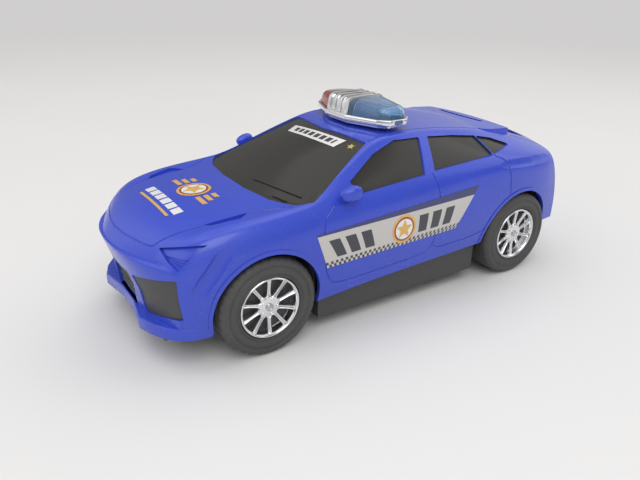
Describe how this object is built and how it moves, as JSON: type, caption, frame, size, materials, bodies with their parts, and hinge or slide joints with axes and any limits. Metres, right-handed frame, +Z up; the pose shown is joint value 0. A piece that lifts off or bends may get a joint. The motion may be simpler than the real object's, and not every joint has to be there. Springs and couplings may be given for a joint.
{
  "type": "friction_toy_car",
  "caption": "Friction-drive toy police car: blue saloon body on a dark chassis, roof light bar with red and blue lenses, spoked bright wheels, two geared flywheels on the rear axle.",
  "frame": {"origin": "on the ground under the middle of the car's overall box", "axes": "+X to the nose, +Y to the car's left side, +Z up"},
  "size_m": [0.24, 0.1042, 0.0963],
  "materials": {
    "body_blue": "glossy moulded blue plastic",
    "window_dark": "glossy black moulded glazing",
    "grille_dark": "matt black",
    "chassis_dark": "matt black moulding",
    "chrome_trim": "bright plated plastic",
    "lens_blue": "clear blue",
    "lens_red": "clear red",
    "steel": "plain steel",
    "tyre_black": "matt soft plastic",
    "gear_white": "natural nylon",
    "case_grey": "dark grey moulding"
  },
  "bodies": {
    "car_body": {"body_shell": "body_blue", "window_insert": "window_dark", "grille_insert": "grille_dark", "chassis": "chassis_dark", "light_bar_tray": "chrome_trim", "light_bar_divider": "chrome_trim", "light_lens_blue": "lens_blue", "light_lens_red": "lens_red", "idler_pin": "steel", "motor_case_left": "case_grey", "motor_case_right": "case_grey", "case_screws": "steel", "motor_screws": "steel", "body_screws": "steel"},
    "front_wheels": {"front_axle": "steel", "tyre_front_left": "tyre_black", "wheel_hub_front_left": "chassis_dark", "wheel_trim_front_left": "chrome_trim", "tyre_front_right": "tyre_black", "wheel_hub_front_right": "chassis_dark", "wheel_trim_front_right": "chrome_trim"},
    "rear_wheels": {"rear_axle": "steel", "axle_gear": "gear_white", "tyre_rear_left": "tyre_black", "wheel_hub_rear_left": "chassis_dark", "wheel_trim_rear_left": "chrome_trim", "tyre_rear_right": "tyre_black", "wheel_hub_rear_right": "chassis_dark", "wheel_trim_rear_right": "chrome_trim"},
    "idler": {"idler_gear": "gear_white", "flywheel_left": "steel"},
    "flywheel": {"flywheel_shaft": "steel", "flywheel_right": "steel"}
  },
  "joints": [
    {"name": "front_axle_spin", "type": "hinge", "parent": "car_body", "child": "front_wheels", "pos_m": [0.0685, 0, 0.0225], "axis": [0, 1, 0], "continuous": true},
    {"name": "rear_axle_spin", "type": "hinge", "parent": "car_body", "child": "rear_wheels", "pos_m": [-0.0815, 0, 0.0225], "axis": [0, 1, 0], "continuous": true},
    {"name": "idler_spin", "type": "hinge", "parent": "car_body", "child": "idler", "pos_m": [-0.06955, 0, 0.03253], "axis": [0, 1, 0], "continuous": true},
    {"name": "flywheel_spin", "type": "hinge", "parent": "car_body", "child": "flywheel", "pos_m": [-0.0536, 0, 0.02509], "axis": [0, 1, 0], "continuous": true}
  ],
  "couplings": [
    {"joint": "idler_spin", "follows": "rear_axle_spin", "ratio": -2.25},
    {"joint": "flywheel_spin", "follows": "rear_axle_spin", "ratio": 6}
  ]
}
